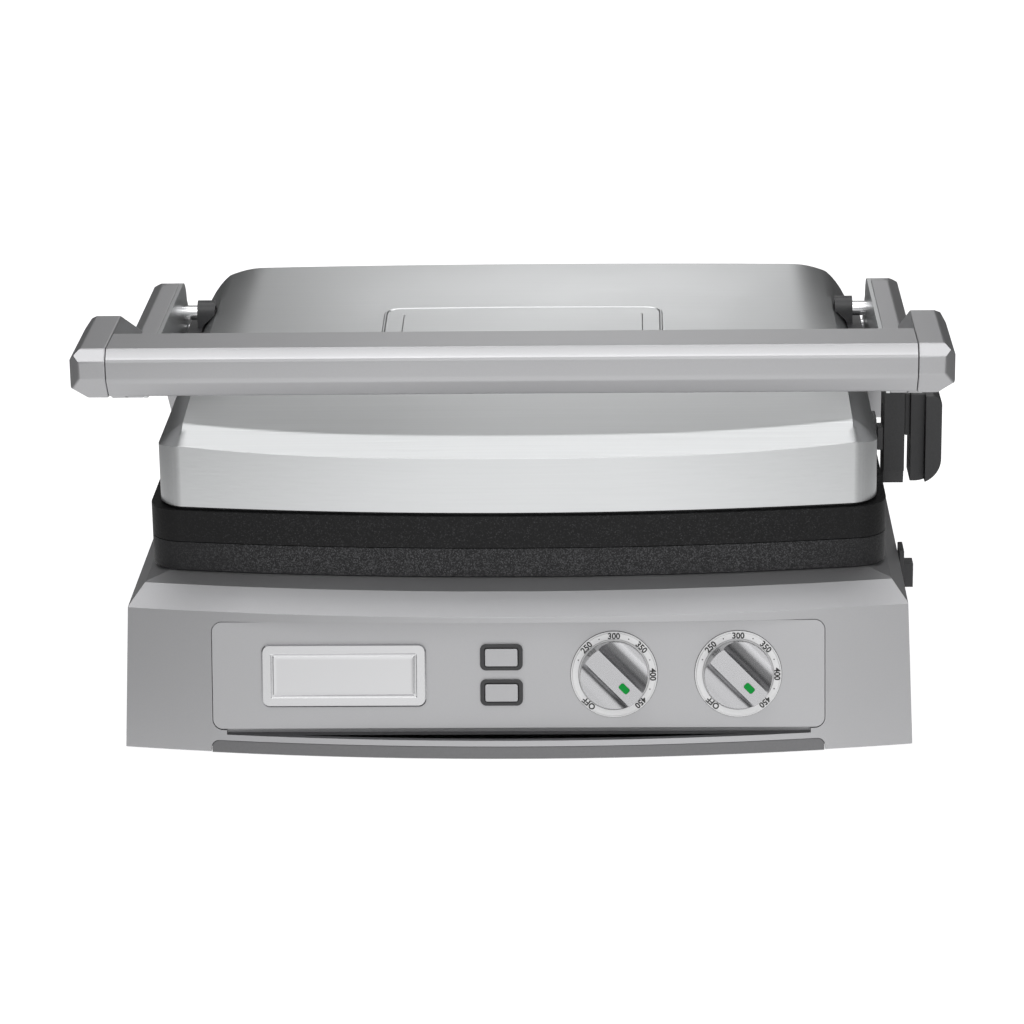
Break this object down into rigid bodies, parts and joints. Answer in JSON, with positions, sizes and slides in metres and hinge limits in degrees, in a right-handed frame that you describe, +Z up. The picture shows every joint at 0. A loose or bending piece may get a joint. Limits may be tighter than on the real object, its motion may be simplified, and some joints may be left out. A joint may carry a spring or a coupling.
{
  "type": "electric indoor grill with lid",
  "caption": "Countertop contact grill: bowed base with dials and drip tray, and a ribbed upper plate under a steel lid carried on two arms with a full-width handle bar.",
  "frame": {"origin": "on the table, under the middle of the whole outline", "axes": "+X to the user's right, +Y away from the user towards the hinge, +Z up"},
  "size_m": [0.4406, 0.3352, 0.2165],
  "materials": {
    "silver_paint": "satin silver paint on cast metal",
    "brushed_steel": "brushed",
    "polished_steel": "polished",
    "sheet_metal": "mill finish",
    "nonstick_coating": "black speckled non-stick coating on cast aluminium",
    "dark_plastic": "fine texture",
    "rubber": "matt",
    "ceramic_block": "glazed white",
    "element_sheath": "oxidised sheath",
    "circuit_board": "solder mask",
    "green_lens": "tinted clear",
    "bronze": "sintered"
  },
  "bodies": {
    "base": {"base_housing": "silver_paint", "bottom_pan": "sheet_metal", "rubber_feet": "rubber", "pan_screws": "polished_steel", "control_panel": "silver_paint", "name_plate": "polished_steel", "sear_bezels": "dark_plastic", "lower_dial_ring": "brushed_steel", "upper_dial_ring": "brushed_steel", "control_board": "circuit_board", "sear_switches": "dark_plastic", "lower_thermostat": "sheet_metal", "upper_thermostat": "sheet_metal", "lower_heat_shield": "sheet_metal", "lower_heating_element": "element_sheath", "lower_plate_clips": "polished_steel", "lower_grill_plate": "nonstick_coating", "lower_button_bezel": "dark_plastic", "lower_button_spring": "polished_steel", "tray_guides": "sheet_metal", "cord_gland": "dark_plastic", "terminal_block": "ceramic_block", "hinge_brackets": "dark_plastic", "hinge_pins": "polished_steel"},
    "lower_dial": {"lower_dial_knob": "brushed_steel", "lower_dial_lens": "green_lens"},
    "upper_dial": {"upper_dial_knob": "brushed_steel", "upper_dial_lens": "green_lens"},
    "lower_sear": {"lower_sear_button": "silver_paint"},
    "upper_sear": {"upper_sear_button": "silver_paint"},
    "lower_release": {"lower_plate_button": "dark_plastic"},
    "tray": {"drip_tray": "nonstick_coating"},
    "arms": {"hinge_bushings": "bronze", "left_arm": "silver_paint", "right_arm": "silver_paint", "left_arm_cover": "brushed_steel", "right_arm_cover": "brushed_steel", "handle_bar": "silver_paint", "handle_screws": "polished_steel", "pivot_pins": "polished_steel", "stop_housing": "dark_plastic", "lever_pin": "polished_steel", "lever_spring": "polished_steel"},
    "lever": {"release_lever": "dark_plastic"},
    "lid": {"lid_cover": "brushed_steel", "lid_frame": "dark_plastic", "pivot_brackets": "dark_plastic", "bracket_screws": "polished_steel", "upper_heat_shield": "sheet_metal", "upper_heating_element": "element_sheath", "upper_plate_clips": "polished_steel", "upper_grill_plate": "nonstick_coating", "upper_button_bezel": "dark_plastic", "upper_button_spring": "polished_steel"},
    "upper_release": {"upper_plate_button": "dark_plastic"}
  },
  "joints": [
    {"name": "arm_hinge", "type": "hinge", "parent": "base", "child": "arms", "pos_m": [-0.0043, 0.1545, 0.0982], "axis": [-1, 0, 0], "range_deg": [0, 175]},
    {"name": "lid_pivot", "type": "hinge", "parent": "arms", "child": "lid", "pos_m": [-0.0043, 0.0745, 0.171], "axis": [-1, 0, 0], "range_deg": [0, 5.2]},
    {"name": "lever_pivot", "type": "hinge", "parent": "arms", "child": "lever", "pos_m": [0.2077, 0.0275, 0.128], "axis": [-1, 0, 0], "range_deg": [0, 40], "stiffness_Nm_per_rad": 0.3, "springref_deg": -11.46},
    {"name": "lower_dial_turn", "type": "hinge", "parent": "base", "child": "lower_dial", "pos_m": [0.0448, -0.14328, 0.0389], "axis": [0, -0.9781, 0.2079], "range_deg": [0, 276]},
    {"name": "upper_dial_turn", "type": "hinge", "parent": "base", "child": "upper_dial", "pos_m": [0.1074, -0.14328, 0.0389], "axis": [0, -0.9781, 0.2079], "range_deg": [0, 276]},
    {"name": "lower_sear_press", "type": "slide", "parent": "base", "child": "lower_sear", "axis": [0, 0.9781, -0.2079], "range_m": [0, 0.0015], "stiffness_N_per_m": 400, "springref_m": -0.001},
    {"name": "upper_sear_press", "type": "slide", "parent": "base", "child": "upper_sear", "axis": [0, 0.9781, -0.2079], "range_m": [0, 0.0015], "stiffness_N_per_m": 400, "springref_m": -0.001},
    {"name": "lower_release_press", "type": "slide", "parent": "base", "child": "lower_release", "axis": [-1, 0, 0], "range_m": [0, 0.002], "stiffness_N_per_m": 500, "springref_m": -0.001},
    {"name": "upper_release_press", "type": "slide", "parent": "lid", "child": "upper_release", "axis": [-1, 0, 0], "range_m": [0, 0.0015], "stiffness_N_per_m": 500, "springref_m": -0.001},
    {"name": "tray_slide", "type": "slide", "parent": "base", "child": "tray", "axis": [-1, 0, 0], "range_m": [0, 0.12]}
  ],
  "couplings": [
    {"joint": "lid_pivot", "follows": "arm_hinge", "ratio": 0.0285}
  ]
}
